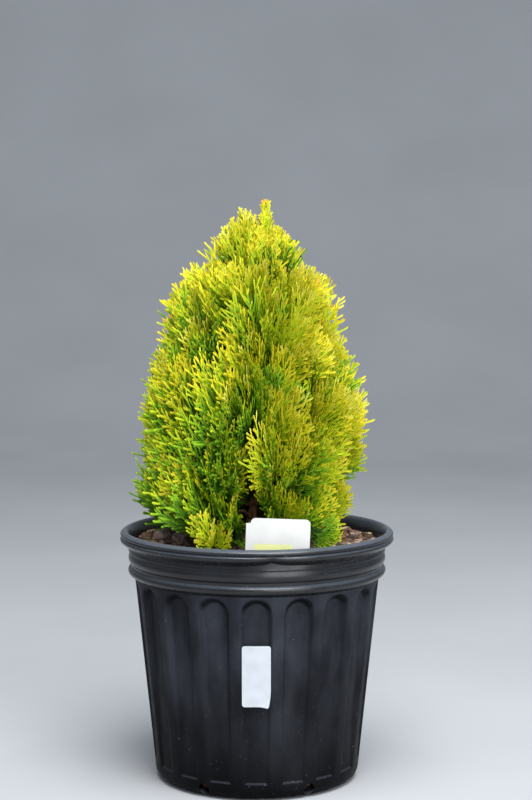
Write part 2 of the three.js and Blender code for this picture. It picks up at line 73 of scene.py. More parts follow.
DENT_LIFT, DENT_PULL = 3.4, 0.02
DENT_TOP, DENT_FOOT, PULL_FOOT = 6, 17, 13
DENT_RADIUS = 129.5
DRAIN_HOLES, DRAIN_RADIUS, DRAIN_HEIGHT, DRAIN_CUT = 6, 6, 9, 30
# The pale tone painted on faces that look up: partly dust, partly a painted highlight.
UPWARD_DUST_AND_HIGHLIGHT = (82, 89, 99)


def wall_radius(height):
    share = (height - WALL_FOOT[1]) / (WALL_HEAD[1] - WALL_FOOT[1])
    return WALL_FOOT[0] + (WALL_HEAD[0] - WALL_FOOT[0]) * share


def bead(radius, drop, size, low=-90, high=90, steps=5):
    """Points round a bead from its underside up: radius, and depth below the pot's top."""
    angles = [radians(low + (high - low) * i / steps) for i in range(steps + 1)]
    middle = radius - size
    return [(middle + size * cos(a), drop - size * sin(a)) for a in angles]


def flute_rows():
    """The wall's rows: height, how far inside the flute's edge, and whether the row is arched."""
    coves = [FLUTE_COVE * i / COVE_ROWS for i in range(COVE_ROWS + 1)]
    rows = [(WALL_FOOT[1] + 1, -1, 0)] + [(FLUTE_FOOT + cove, cove, 0) for cove in coves]
    floor = np.linspace(FLOOR_START, FLUTE_TOP - FLUTE_ARCH - 10, FLOOR_ROWS)
    rows += [(height, WHOLLY_INSIDE, 0) for height in floor]
    heads = [FLUTE_COVE * HEAD_MARGIN] + coves[::-1]
    return rows + [(FLUTE_TOP - cove * HEAD_COVE / FLUTE_COVE, cove, 1) for cove in heads]


def pot_outline():
    outline = [(0, 0), (50, 0), (90, 0), (94, 0.5), (99, 2.2), (102, 4.6), (103.8, 8)]
    outline += [(wall_radius(height), height) for height, inside, arched in flute_rows()]
    collar = [(wall_radius(POT_TOP - 48), 48), (126.2, 46.8)] + bead(131.6, 41, 4.4, -70, 74, 8)
    collar += [(128.7, 35.6), (128.6, 33.8), (129.6, 32.6), (131, 30.4), (131.3, 27.5), (130.6, 24.4)]
    collar += [(129.7, 22.4), (129.9, 21.6), (131.2, 20.9), (130.9, 18.6), (130.6, 16.9), (132, 15.6)]
    collar += [(135.4, 13.8), (138, 11.6)] + bead(LIP_RADIUS, 9.2, 2.7, -34, 62, 6)
    collar += [(137.3, 5.9)] + bead(LIP_RADIUS - 0.2, 3.9, 2.2, -48, 64, 6) + [(136.6, 0.7), (135.4, 0.1)]
    collar += [(134, 0), (132.8, 0.7), (131, 3), (128.6, 10), (127.8, 33), (LINER_HEAD, 49)]
    outline += [(radius, POT_TOP - drop) for radius, drop in collar]
    return outline + [(LINER_FOOT, 12), (94, 4), (90, 2.8), (0, 2.8)]


def shape_flute(bm):
    """Draws one sector's rows and columns in to its flute's edges, and sinks its coved floor."""
    rows = {round(height, 2): (inside, arched) for height, inside, arched in flute_rows()}
    cove_columns = COVE_ROWS + 1
    for vert in bm.verts:
        height = vert.co.z / MM
        radius = hypot(vert.co.x, vert.co.y) / MM
        if round(height, 2) not in rows or radius < wall_radius(height) - 1:
            continue
        inside, arched = rows[round(height, 2)]
        column = round((atan2(vert.co.x, -vert.co.y) / FLUTE_PITCH + 0.5) * FLUTE_COLUMNS)
        from_edge = min(column, FLUTE_COLUMNS - column) - LAND_COLUMNS
        half = (FLUTE_PITCH * radius - FLUTE_LAND) / 2
        if from_edge < 0:
            across = half + FLUTE_LAND / 2 * (-from_edge / LAND_COLUMNS)
        elif from_edge < cove_columns:
            across = half - FLUTE_COVE * from_edge / COVE_ROWS
        else:
            middle = FLUTE_COLUMNS / 2 - LAND_COLUMNS
            across = (half - FLUTE_COVE) * (middle - from_edge) / (middle - COVE_ROWS)
        if arched:
            bow = min(1, across / (half - inside))
            height -= FLUTE_ARCH * (1 - sqrt(1 - bow * bow))
        reach = max(0, min(inside, half - across, FLUTE_COVE)) / FLUTE_COVE
        depth = FLUTE_DEPTH - FLUTE_FADE * (FLUTE_TOP - height) / (FLUTE_TOP - FLUTE_FOOT)
        sunk = depth * (1 - cos(pi * reach)) / 2
        turn = copysign(across / radius, column - FLUTE_COLUMNS / 2)
        flat = FLOOR_FLATNESS * across * across / radius * min(1, reach)
        place = wall_radius(height) - sunk - flat
        vert.co = Vector((sin(turn), -cos(turn), 0)) * place * MM
        vert.co.z = height * MM


def dent_lip(bm):
    """The lower bead is pushed up a little, just right of the front."""
    for vert in bm.verts:
        across = abs(vert.co.x / MM - DENT_PLACE)
        drop = POT_TOP - vert.co.z / MM
        outside = vert.co.y < 0 and vert.co.xy.length > DENT_RADIUS * MM
        if outside and across < DENT_REACH and DENT_TOP < drop < DENT_FOOT:
            push = exp(-across / DENT_SPREAD)
            vert.co.z += DENT_LIFT * MM * push * min(1, (drop - DENT_TOP) / 3)
            vert.co.xy *= 1 - DENT_PULL * push * min(1, max(0, (PULL_FOOT - drop) / 4))


def add_object(name, data):
    made = bpy.data.objects.new(name, data)
    bpy.context.scene.collection.objects.link(made)
    return made


def object_from(name, bm):
    mesh = bpy.data.meshes.new(name)
    bm.to_mesh(mesh)
    bm.free()
    return add_object(name, mesh)


def finish_piece(piece, materials):
    """Gives a piece its materials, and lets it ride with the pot."""
    for material in materials:
        piece.data.materials.append(material)
    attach(piece, "root")
    return piece


def new_piece(name, bm, materials, smooth=35):
    """Turns a bmesh into a piece of the plant, smooth but for its sharper edges."""
    piece = finish_piece(object_from(name, bm), materials)
    piece.data.shade_smooth()
    piece.data.set_sharp_from_angle(angle=radians(smooth))
    return piece


def chained(bm, outline):
    """Corners and edges at the front, along an outline of radii and heights."""
    points = [bm.verts.new((0, -radius * MM, height * MM)) for radius, height in outline]
    return points + [bm.edges.new(pair) for pair in zip(points, points[1:])]


def spin(bm, geom, angle, steps, **settings):
    """Spins corners, edges or faces round the pot's middle."""
    bmesh.ops.spin(bm, geom=geom, cent=(0, 0, 0), axis=(0, 0, 1), angle=angle, steps=steps, **settings)


def close_up(bm):
    """Joins corners that meet, and turns the faces outward."""
    bmesh.ops.remove_doubles(bm, verts=bm.verts, dist=0.05 * MM)
    bmesh.ops.recalc_face_normals(bm, faces=bm.faces)


def build_pot():
    bm = bmesh.new()
    chain = chained(bm, pot_outline())
    bmesh.ops.rotate(bm, verts=bm.verts, matrix=Matrix.Rotation(-FLUTE_PITCH / 2, 3, "Z"))
    spin(bm, chain, FLUTE_PITCH, FLUTE_COLUMNS)
    shape_flute(bm)
    spin(bm, bm.verts[:] + bm.edges[:] + bm.faces[:], 2 * pi - FLUTE_PITCH, FLUTES - 1,
         use_duplicate=True)
    close_up(bm)
    dent_lip(bm)
    for face in bm.faces:
        face.material_index = int(face.calc_center_median().z > WALL_HEAD[1] * MM)
    return bm


def cut_drains(pot):
    """Round drain holes through the pot's bottom corner."""
    bm = bmesh.new()
    for i in range(DRAIN_HOLES):
        turn = 2 * pi * (i + 0.5) / DRAIN_HOLES
        hole = Matrix.Translation((0, -WALL_FOOT[0] * MM, DRAIN_HEIGHT * MM))
        place = Matrix.Rotation(turn, 4, "Z") @ hole @ Matrix.Rotation(pi / 2, 4, "X")
        bmesh.ops.create_cone(bm, cap_ends=True, segments=24, radius1=DRAIN_RADIUS * MM,
                              radius2=DRAIN_RADIUS * MM, depth=DRAIN_CUT * MM, matrix=place)
    cutter = object_from("drain_cutter", bm)
    cut = pot.modifiers.new("drains", "BOOLEAN")
    cut.object = cutter
    cut.operation = "DIFFERENCE"
    cut.solver = "EXACT"
    graph = bpy.context.evaluated_depsgraph_get()
    cut_mesh = bpy.data.meshes.new_from_object(pot.evaluated_get(graph))
    pot.modifiers.clear()
    pot.data = cut_mesh
    bpy.data.objects.remove(cutter)


def blank_material(name, roughness):
    """A new material and its shader."""
    material = bpy.data.materials.new(name)
    material.use_nodes = True
    shader = material.node_tree.nodes["Principled BSDF"]
    shader.inputs["Roughness"].default_value = roughness
    return material, shader


def node(material, kind, inputs=(), **settings):
    """Adds a node, sets its settings, and fills or links its inputs."""
    made = material.node_tree.nodes.new(kind)
    for name, value in settings.items():
        setattr(made, name, value)
    for name, value in dict(inputs).items():
        if hasattr(value, "is_output"):
            material.node_tree.links.new(value, made.inputs[name])
        else:
            made.inputs[name].default_value = value
    return made


def feed(material, shader, socket, value):
    """Links a value to one of the shader's sockets."""
    material.node_tree.links.new(value, shader.inputs[socket])


def speckle(material, scale, detail, stretch=(1, 1, 1)):
    """Noise on the piece's own place, from 0 to 1."""
    place = node(material, "ShaderNodeTexCoord").outputs["Object"]
    if stretch != (1, 1, 1):
        place = node(material, "ShaderNodeMapping", {"Vector": place, "Scale": stretch}).outputs["Vector"]
    made = node(material, "ShaderNodeTexNoise", {"Vector": place, "Scale": scale, "Detail": detail})
    return made.outputs["Fac"]


def tones(material, value, stops):
    """A colour ramp over a value: (place, colour) stops, with colours as sRGB 0-255."""
    ramp = node(material, "ShaderNodeValToRGB", {"Fac": value})
    points = ramp.color_ramp.elements
    while len(points) < len(stops):
        points.new(0.5)
    for point, (place, colour) in zip(points, stops):
        point.position = place
        point.color = paint(colour)
    return ramp.outputs["Color"]


def paint(colour):
    """An sRGB colour, 0-255, as the shader's linear one."""
    shares = [c / 255 for c in colour]
    return [c / 12.92 if c < 0.04045 else ((c + 0.055) / 1.055) ** 2.4 for c in shares] + [1]


def relief(material, shader, value, distance, strength=0.5):
    made = node(material, "ShaderNodeBump", {"Height": value, "Distance": distance, "Strength": strength})
    feed(material, shader, "Normal", made.outputs["Normal"])


def speckled(name, roughness, grain, stops, bumps=None, height=0.0, strength=0.5):
    """A finish of a few tones in noise. The bumps, also noise, stand to a height in millimetres."""
    material, shader = blank_material(name, roughness)
    feed(material, shader, "Base Color", tones(material, speckle(material, *grain), stops))
    if bumps:
        relief(material, shader, speckle(material, *bumps), height * MM, strength)
    return material


def blend_colours(material, kind, share, first, second):
    made = node(material, "ShaderNodeMixRGB", {"Fac": share, "Color1": first, "Color2": second},
                blend_type=kind)
    return made.outputs["Color"]


def ranged(material, value, low, high, start, end):
    """Maps a value from between low and high to between start and end."""
    return node(material, "ShaderNodeMapRange", {
        "Value": value, "From Min": low, "From Max": high, "To Min": start, "To Max": end,
    }).outputs["Result"]


def black_polypropylene(name, clean, dusty, rough, gloss):
    """Near-black plastic with small pale scuffs and patches of dried rain dust. Its colour is also painted
    paler towards the top, a painted light, and darker on undersides, a painted shade. What faces up is
    painted paler still, partly settled dust and partly a painted highlight."""
    material, shader = blank_material(name, rough[1])
    shader.inputs["Specular IOR Level"].default_value = gloss
    dust = tones(material, speckle(material, 26, 8, (1, 1, 0.45)), [(0.4, clean), (0.75, dusty)])
    place = node(material, "ShaderNodeTexCoord").outputs["Object"]
    rise = node(material, "ShaderNodeSeparateXYZ", {"Vector": place}).outputs["Z"]
    normal = node(material, "ShaderNodeNewGeometry").outputs["Normal"]
    upward = node(material, "ShaderNodeSeparateXYZ", {"Vector": normal}).outputs["Z"]
    # Painted light: a share that rises from near nothing at the pot's foot to full at its top, so the pot is
    # painted paler towards the top.
    painted_light_by_height = ranged(material, rise, 0, POT_TOP * MM, 0.02, 1)
    # Painted shade: faces that look down are painted darker, down to a fifth.
    painted_shade_under = ranged(material, upward, -0.5, -0.16, 0.2, 1)
    painted_light_and_shade = node(material, "ShaderNodeMath", {0: painted_light_by_height, 1: painted_shade_under}, operation="MULTIPLY").outputs["Value"]
    # The dust tones are darkened by the painted light and the painted shade.
    thin = blend_colours(material, "MULTIPLY", 1.0, dust, painted_light_and_shade)
    # Faces that look up are painted paler: partly settled dust, partly a painted highlight on the bead tops.
    dust_and_highlight_share = ranged(material, upward, 0.2, 0.9, 0, 0.85)
    dust_and_highlight = blend_colours(material, "MIX", dust_and_highlight_share, thin, paint(UPWARD_DUST_AND_HIGHLIGHT))
    flecks = speckle(material, 520, 2, (1, 1, 2.2))
    scuff = tones(material, flecks, [(0.735, (0, 0, 0)), (0.77, (140, 142, 146))])
    feed(material, shader, "Base Color", blend_colours(material, "ADD", 1.0, dust_and_highlight, scuff))
    feed(material, shader, "Roughness", ranged(material, speckle(material, 90, 6), 0.3, 0.7, *rough))
    relief(material, shader, speckle(material, 60, 4), 0.4 * MM, 0.35)
    return material


pot = new_piece("nursery_pot", build_pot(), [
    black_polypropylene("wall_polypropylene", (41, 43, 50), (80, 84, 94), (0.46, 0.6), 0.08),
    black_polypropylene("collar_polypropylene", (20, 21, 25), (38, 41, 47), (0.2, 0.36), 0.5),
], 40)
cut_drains(pot)
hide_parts("pot")


# The compost and its bark chips
# Composted bark fills the pot to a finger's width below the lip. Coarse chips lie on it, heaped
# towards the wall at either side, with a few pale splinters among them.
SOIL_EDGE = POT_TOP - 14
SOIL_MIDDLE = POT_TOP - 10.5
SOIL_RADIUS, SOIL_FLAT = 127.6, 24
SOIL_TURNS, SOIL_RINGS = 120, 34
LUMPS = ((90, 1.6), (330, 1.1))
CHIP_BELTS, OUTER_BELT_SHARE = ((58, 121), (20, 118)), 0.75
CHIP_LIMIT = 125.5
HEAP_START, HEAP_WIDTH, HEAP_RISE = 92, 26, 5
CHIP_SQUARENESS, CHIP_TEAR, CHIP_GRAIN = 0.62, 0.45, 1.9
PALE_SPLINTER, PALE_SHARE = 3, 0.3
CHIP_KINDS = [
    ("chunk", 46, (4.5, 8), (3, 5), (2, 3.4)),
    ("chip", 520, (2.2, 5.5), (1.3, 3), (0.8, 1.6)),
    ("splinter", 420, (4, 9), (0.5, 1.1), (0.4, 0.8)),
]
LAID_CHIPS = [
    ((-97, 0, 246.5), (11, 8, 6.5), 1, 0.2),
    ((-78, -17, 246), (9, 8, 6), 1, -0.3),
    ((-90, 52, 250), (11, 4.5, 1.2), 3, 0.9),
    ((-109, 14, 250), (8, 1.6, 1.0), 3, 0.5),
    ((82, -6, 246), (10, 6, 2.2), 2, 0.25),
    ((88, 46, 247), (12, 3, 1.6), 3, -0.2),
]


def dice(seed):
    """Repeatable chance, the same as the solids grow by."""
    state = seed

    def roll(low=0.0, high=1.0):
        nonlocal state
        state = state * 48271 % 2147483647
        return low + (high - low) * state / 2147483647

    return roll


def soil_height(radius):
    past_flat = max(0.0, radius - SOIL_FLAT) / (SOIL_RADIUS - SOIL_FLAT)
    return SOIL_MIDDLE - (SOIL_MIDDLE - SOIL_EDGE) * past_flat


def build_compost():
    bm = bmesh.new()
    outline = [(0, 4), (90, 4), (97, 12), (115.2, POT_TOP - 49.5), (127.2, POT_TOP - 32)]
    outline += [(radius, soil_height(radius)) for radius in np.linspace(SOIL_RADIUS, 0, SOIL_RINGS)]
    spin(bm, chained(bm, outline), 2 * pi, SOIL_TURNS, use_merge=True)
    close_up(bm)
    for vert in bm.verts:
        if vert.co.z > (SOIL_EDGE - 1) * MM:
            vert.co.z += sum(noise.noise(vert.co * scale) * rise for scale, rise in LUMPS) * MM
    return bm


def add_chip(bm, roll, size, place, tilt, material):
    """One broken piece of bark: a squared-off lump, torn to points along its grain."""
    made = bmesh.ops.create_icosphere(bm, subdivisions=2, radius=1)["verts"]
    salt = Vector((roll(0, 50), roll(0, 50), roll(0, 50)))
    turn = Matrix.Rotation(roll(0, 2 * pi), 3, "Z") @ Matrix.Rotation(tilt, 3, "X")
    for vert in made:
        square = Vector([copysign(abs(c) ** CHIP_SQUARENESS, c) for c in vert.co])
        square *= 1 + CHIP_TEAR * noise.noise(vert.co * CHIP_GRAIN + salt)
        vert.co = place + turn @ Vector([c * s * MM for c, s in zip(square, size)])
    for face in {face for vert in made for face in vert.link_faces}:
        face.material_index = material


def build_chips():
    """Chips thrown over the compost, heaped towards the wall at the left and right."""
    bm = bmesh.new()
    roll = dice(2718)
    for kind, count, long, wide, thick in CHIP_KINDS:
        for _ in range(count):
            turn = roll(0, 2 * pi)
            heap = abs(cos(turn)) ** 2
            radius = roll(*CHIP_BELTS[0]) if roll() < OUTER_BELT_SHARE else roll(*CHIP_BELTS[1])
            steep = heap * max(0.0, radius - HEAP_START) / HEAP_WIDTH
            lift = soil_height(radius) + steep * roll(0, HEAP_RISE)
            size = (roll(*long), roll(*wide), roll(*thick))
            radius = min(radius, CHIP_LIMIT - size[0])
            place = Vector((radius * cos(turn), radius * sin(turn), lift + size[2] * 0.5)) * MM
            pale = kind == "splinter" and roll() < PALE_SHARE
            shade = PALE_SPLINTER if pale else int(roll(0, 2.99))
            add_chip(bm, roll, size, place, roll(-0.6, 0.6), shade)
    for place, size, shade, tilt in LAID_CHIPS:
        add_chip(bm, roll, size, Vector(place) * MM, tilt, shade)
    return bm


def bark_compost(name, dark, light, scale):
    return speckled(name, 0.9, (scale, 6), [(0.35, dark), (0.65, light)], (scale * 2.5, 5), 0.8, 0.7)


compost = new_piece("bark_compost_bed", build_compost(), [
    bark_compost("compost", (44, 33, 28), (88, 68, 56), 260),
], 60)
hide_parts("potting_soil")
new_piece("bark_chips", build_chips(), [
    bark_compost("dark_chip", (62, 47, 40), (124, 98, 82), 230),
    bark_compost("grey_chip", (118, 98, 90), (188, 166, 153), 210),
    bark_compost("brown_chip", (86, 60, 45), (150, 110, 84), 220),
    bark_compost("pale_splinter", (168, 138, 104), (222, 196, 154), 200),
], 25)


# The plant label
# A white plastic card on a stake that is pushed into the compost at the front. Its text is left
# out, and a pale green band stays, printed across its foot.
LABEL_MIDDLE = Vector((20 * MM, -112 * MM, (POT_TOP - 14) * MM))
LABEL_TURN = radians(2)
LABEL_HALF = 31
LABEL_RISE = 40.5
LABEL_STEP = 4.3
LABEL_FOOT = 4
LABEL_CORNER, CORNER_STEPS = 5, 6
STAKE_HALF, STAKE_LENGTH, STAKE_POINT = 6, 60, 8
CARD_THICK, CARD_BOW = 0.7, 1.4
BAND = (-22.5, 14, 8, 15.5)


def build_label():
    """The card is cut along the band's edges, so that the band is faces of its own."""
    bm = bmesh.new()
    left, right = -LABEL_HALF, LABEL_HALF
    corner = LABEL_RISE - LABEL_CORNER
    turns = [radians(90 * i / CORNER_STEPS) for i in range(CORNER_STEPS + 1)]
    bends = [(LABEL_CORNER * cos(turn), LABEL_CORNER * sin(turn)) for turn in turns]
    stake = STAKE_POINT - STAKE_LENGTH
    outline = [(-STAKE_HALF, stake), (0, -STAKE_LENGTH), (STAKE_HALF, stake)]
    outline += [(STAKE_HALF, LABEL_FOOT), (right, LABEL_FOOT)]
    outline += [(right - LABEL_CORNER + x, corner + z) for x, z in bends]
    shoulder = left + LABEL_STEP + LABEL_CORNER
    outline += [(shoulder - z, corner + x) for x, z in bends]
    outline += [(left, corner - 0.5), (left, LABEL_FOOT), (-STAKE_HALF, LABEL_FOOT)]
    card = bm.faces.new([bm.verts.new((x * MM, 0, z * MM)) for x, z in outline])
    card.normal_update()
    cuts = [(at, Vector((1, 0, 0))) for at in BAND[:2]] + [(at, Vector((0, 0, 1))) for at in BAND[2:]]
    for at, normal in cuts:
        bmesh.ops.bisect_plane(bm, geom=bm.verts[:] + bm.edges[:] + bm.faces[:],
                               plane_co=normal * at * MM, plane_no=normal)
    for face in bm.faces:
        at = face.calc_center_median() / MM
        if BAND[0] < at.x < BAND[1] and BAND[2] < at.z < BAND[3]:
            face.material_index = 1
    bmesh.ops.recalc_face_normals(bm, faces=bm.faces)
    bmesh.ops.solidify(bm, geom=bm.faces[:], thickness=CARD_THICK * MM)
    for face in bm.faces:
        if face.calc_center_median().y > 0.1 * MM:
            face.material_index = 0
    for vert in bm.verts:
        vert.co.y += CARD_BOW * MM * (vert.co.x / (LABEL_HALF * MM)) ** 2
    bmesh.ops.rotate(bm, verts=bm.verts, matrix=Matrix.Rotation(LABEL_TURN, 3, "Y"))
    bmesh.ops.translate(bm, verts=bm.verts, vec=LABEL_MIDDLE)
    return bm


def printed_card(name, colour, shadow):
    return speckled(name, 0.42, (45, 3), [(0.35, shadow), (0.6, colour)], (900, 2), 0.05, 0.3)


label = new_piece("label_card", build_label(), [
    printed_card("white_card", (228, 229, 227), (220, 222, 218)),
    printed_card("pale_green_band", (236, 242, 170), (228, 235, 156)),
])
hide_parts("plant_label")


# The price sticker
# A white paper sticker pressed over the front flute and the lands beside it. It is blank, and its
# lower right corner has lifted and curled away from the wall.
STICKER_LOW, STICKER_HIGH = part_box("pot_sticker")
STICKER_HALF = (14, 30.75)
STICKER_MIDDLE = (STICKER_LOW.z + STICKER_HIGH.z) / 2 / MM
STICKER_FRONT = (STICKER_LOW.y + STICKER_HIGH.y) / 2 / MM
STICKER_CORNER = 2.5
PAPER_THICK = 0.18
CURL_START, CURL_LENGTH, CURL_SLANT = 24, 13, 0.75
CURL_LIFT, CURL_ACROSS, CURL_UP = 3.4, 2.2, 1.2
RIPPLE = 0.12
WALL_SLOPE = (WALL_HEAD[0] - WALL_FOOT[0]) / (WALL_HEAD[1] - WALL_FOOT[1])


def build_sticker():
    bm = bmesh.new()
    bmesh.ops.create_grid(bm, x_segments=18, y_segments=36, size=1)
    for vert in bm.verts:
        across, up = vert.co.x * STICKER_HALF[0], vert.co.y * STICKER_HALF[1]
        corner_x = max(0.0, abs(across) - STICKER_HALF[0] + STICKER_CORNER)
        corner_z = max(0.0, abs(up) - STICKER_HALF[1] + STICKER_CORNER)
        over = hypot(corner_x, corner_z)
        if over > STICKER_CORNER:
            across -= copysign(corner_x * (1 - STICKER_CORNER / over), across)
            up -= copysign(corner_z * (1 - STICKER_CORNER / over), up)
        lift = max(0.0, (across - up * CURL_SLANT) - CURL_START) / CURL_LENGTH
        proud = CURL_LIFT * lift ** 1.6
        across -= CURL_ACROSS * lift ** 2
        up -= CURL_UP * lift ** 2
        ripple = RIPPLE * sin(up * 0.35) * cos(across * 0.2)
        front = STICKER_FRONT - up * WALL_SLOPE - proud + ripple
        vert.co = Vector((across, front, STICKER_MIDDLE + up)) * MM
    bmesh.ops.recalc_face_normals(bm, faces=bm.faces)
    bmesh.ops.solidify(bm, geom=bm.faces[:], thickness=PAPER_THICK * MM)
    return bm


sticker = new_piece("price_sticker", build_sticker(), [
    speckled("sticker_paper", 0.65, (70, 5), [(0.3, (200, 205, 212)), (0.6, (210, 215, 222))],
             (1400, 3), 0.06, 0.4),
], 50)
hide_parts("pot_sticker")


# Trunk and boughs
# One young stem runs from the compost to the leader, with a slight double bend and a flared foot.
# Boughs leave it in four tiers and sweep up into the foliage. Their bark is thin and furrowed.
TRUNK_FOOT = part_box("trunk")[0].z / MM
TRUNK_TIP = 548
TRUNK_RADIUS, TRUNK_TIP_RADIUS = 5.4, 1.3
FLARE, FLARE_HEIGHT = 4.2, 7
TRUNK_LINE = [(-7, 0, TRUNK_FOOT), (-4.5, 0, 268), (1.5, 1, 306), (6, 2, 346), (3.5, 1, 392), (4, 0, 460),
              (6.5, 0, TRUNK_TIP)]
TRUNK_STEPS, BOUGH_STEPS, STEM_STEPS = 180, 26, 12
TRUNK_SIDES, BOUGH_SIDES = 28, 12
TRUNK_RIDGES, BOUGH_RIDGES = 0.16, 0.12
BOUGH_RADIUS, BOUGH_TIP_RADIUS = 2.6, 1.5
BOUGH_END_UP = 0.42
STEM_END = (0.55, 0.7)
SOIL_CLEARANCE = 3
CROWN_TOP = 339
CROWN_FOOT_X, CROWN_LEAN = -5, 13
CROWN_REACH = np.array([
    (-12, 92, 80), (12, 117, 95), (50, 124, 101), (92, 117, 111), (137, 112, 111), (184, 102, 94),
    (223, 95, 85), (250, 85, 80), (268, 68, 59), (288, 49, 43), (310, 40, 32), (326, 25, 22),
    (CROWN_TOP, 4, 12),
], float)
TIERS = [dict(zip(("name", "masses", "turn", "inner", "outer", "fork", "reach"), row)) for row in [
    ("skirt", 6, 0, 246, 246, 258, 0.36),
    ("lower", 5, 14, 268, 314, 281, 0.36),
    ("middle", 5, 50, 304, 378, 320, 0.33),
    ("upper", 4, 20, 352, 441, 370, 0.28),
    ("top", 4, 62, 412, 503, 436, 0),
]]
CONES = TIERS + [{"inner": 520, "outer": 578}]


def crown_axis(height):
    """The crown's middle across, which leans to the right as it rises."""
    return CROWN_FOOT_X + CROWN_LEAN * (height - POT_TOP + 10) / (CROWN_TOP + 10)


def crown_radius(height, turn):
    """How far the sprays reach from the leaning axis, by height and direction."""
    above = min(max(height - POT_TOP, CROWN_REACH[0, 0]), CROWN_TOP)
    left = np.interp(above, CROWN_REACH[:, 0], CROWN_REACH[:, 1]) + crown_axis(height)
    right = np.interp(above, CROWN_REACH[:, 0], CROWN_REACH[:, 2]) - crown_axis(height)
    return (left + right) / 2 + (right - left) / 2 * cos(turn)


CONE_RADII = [crown_radius(cone["outer"], pi / 2) for cone in CONES]


def cone_height(index, radius):
    cone = CONES[index]
    return cone["inner"] + (cone["outer"] - cone["inner"]) * radius / CONE_RADII[index]


class Room:
    """A mass's own room: a sector of one tier, between its two cones."""

    def __init__(self, tier, index):
        wedge = 2 * pi / TIERS[tier]["masses"]
        self.tier = tier
        self.half = wedge / 2
        self.middle = wedge * index + radians(TIERS[tier]["turn"])

    def height_at(self, share, radius):
        low = max(cone_height(self.tier, radius), soil_height(radius) + SOIL_CLEARANCE)
        return low + (cone_height(self.tier + 1, radius) - low) * share

    def place(self, across, up, out):
        """A place at shares of the room's width, height and reach, in millimetres."""
        turn = self.middle + across * self.half
        radius = crown_radius(CONES[self.tier]["outer"], turn) * out
        for _ in range(8):
            radius = (radius + crown_radius(self.height_at(up, radius / out), turn) * out) / 2
        height = self.height_at(up, radius)
        return Vector((crown_axis(height) + radius * cos(turn), radius * sin(turn), height))


def smooth_line(points, count):
    """Points along a Catmull-Rom curve through the given ones."""
    ends = [points[0] * 2 - points[1]] + points + [points[-1] * 2 - points[-2]]
    line = []
    for i in range(count + 1):
        span = min(i / count * (len(points) - 1), len(points) - 1 - 1e-9)
        at = int(span)
        t = span - at
        a, b, c, d = ends[at:at + 4]
        line.append(0.5 * (2 * b + (c - a) * t + (2 * a - 5 * b + 4 * c - d) * t * t
                           + (3 * b - a - 3 * c + d) * t ** 3))
    return line


TRUNK_POINTS = smooth_line([Vector(point) for point in TRUNK_LINE], TRUNK_STEPS)


def trunk_at(height):
    return min(TRUNK_POINTS, key=lambda point: abs(point.z - height)).copy()


def trunk_radius(height):
    share = (height - TRUNK_FOOT) / (TRUNK_TIP - TRUNK_FOOT)
    taper = TRUNK_RADIUS + (TRUNK_TIP_RADIUS - TRUNK_RADIUS) * share
    return taper + FLARE * exp(-(height - TRUNK_FOOT) / FLARE_HEIGHT)


def bezier(points, count):
    """Points along a Bezier curve of any degree."""
    line = []
    for i in range(count + 1):
        level = list(points)
        while len(level) > 1:
            level = [a.lerp(b, i / count) for a, b in zip(level, level[1:])]
        line.append(level[0])
    return line


def sweep(height, end, count):
    """A limb leaves the trunk level, just inside its bark, and sweeps up to its end."""
    root = trunk_at(height)
    away = Vector((end.x - root.x, end.y - root.y, 0)).normalized()
    start = root + away * (trunk_radius(height) - 1)
    reach = hypot(end.x - start.x, end.y - start.y)
    level = start + away * reach * 0.45
    below_end = (end - away * reach * 0.3).lerp(Vector((end.x, end.y, start.z)), 0.3)
    return bezier([start, level, below_end, end], count)


def heading(line, i):
    return (line[min(i + 1, len(line) - 1)] - line[max(i - 1, 0)]).normalized()


def add_limb(bm, line, radii, sides, ridges):
    """A flat grid rolled into a tube along a line. Furrows in the bark run along it."""
    made = bmesh.ops.create_grid(bm, x_segments=sides, y_segments=len(line) - 1, size=1)["verts"]
    frames = []
    across = Vector((1, 0, 0))
    for i in range(len(line)):
        ahead = heading(line, i)
        across = (across - ahead * across.dot(ahead)).normalized()
        frames.append((across, ahead.cross(across)))
    for vert in made:
        turn = (vert.co.x + 1) * pi
        step = round((vert.co.y + 1) / 2 * (len(line) - 1))
        spoke = Vector((cos(turn), sin(turn), step * 0.05))
        out = frames[step][0] * spoke.x + frames[step][1] * spoke.y
        furrow = noise.noise(Vector((spoke.x * 2.6, spoke.y * 2.6, spoke.z)))
        knot = noise.noise(line[step] * 0.06 + out * 0.5)
        swell = 1 + ridges * (0.8 * furrow + 0.5 * knot)
        vert.co = (line[step] + out * radii[step] * swell) * MM
    bmesh.ops.remove_doubles(bm, verts=made, dist=0.001 * MM)
    ends = [edge for edge in bm.edges if edge.is_boundary]
    bmesh.ops.holes_fill(bm, edges=ends, sides=sides + 1)


def build_wood():
    """The trunk and every bough, as one mesh."""
    bm = bmesh.new()
    trunk_radii = [trunk_radius(point.z) for point in TRUNK_POINTS]
    add_limb(bm, TRUNK_POINTS, trunk_radii, TRUNK_SIDES, TRUNK_RIDGES)
    bough_radii = np.linspace(BOUGH_RADIUS, BOUGH_TIP_RADIUS, BOUGH_STEPS + 1)
    for room, stem, line in LIMBS:
        if line:
            add_limb(bm, line, bough_radii, BOUGH_SIDES, BOUGH_RIDGES)
    bmesh.ops.recalc_face_normals(bm, faces=bm.faces)
    return bm


def limbs_of(room):
    """A mass's stem, and the bough that carries it, which the top tier does without."""
    tier = TIERS[room.tier]
    end = room.place(0, *STEM_END)
    if not tier["reach"]:
        return room, sweep(tier["fork"], end, STEM_STEPS), None
    tip = room.place(0, BOUGH_END_UP, tier["reach"])
    line = sweep(tier["fork"], tip, BOUGH_STEPS)
    onward = (line[-1] - line[-2]).normalized()
    bend = tip + onward * (end - tip).length * 0.4
    return room, bezier([tip, bend, end], STEM_STEPS), line


def nodes_named(start):
    return [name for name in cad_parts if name.startswith(start)]


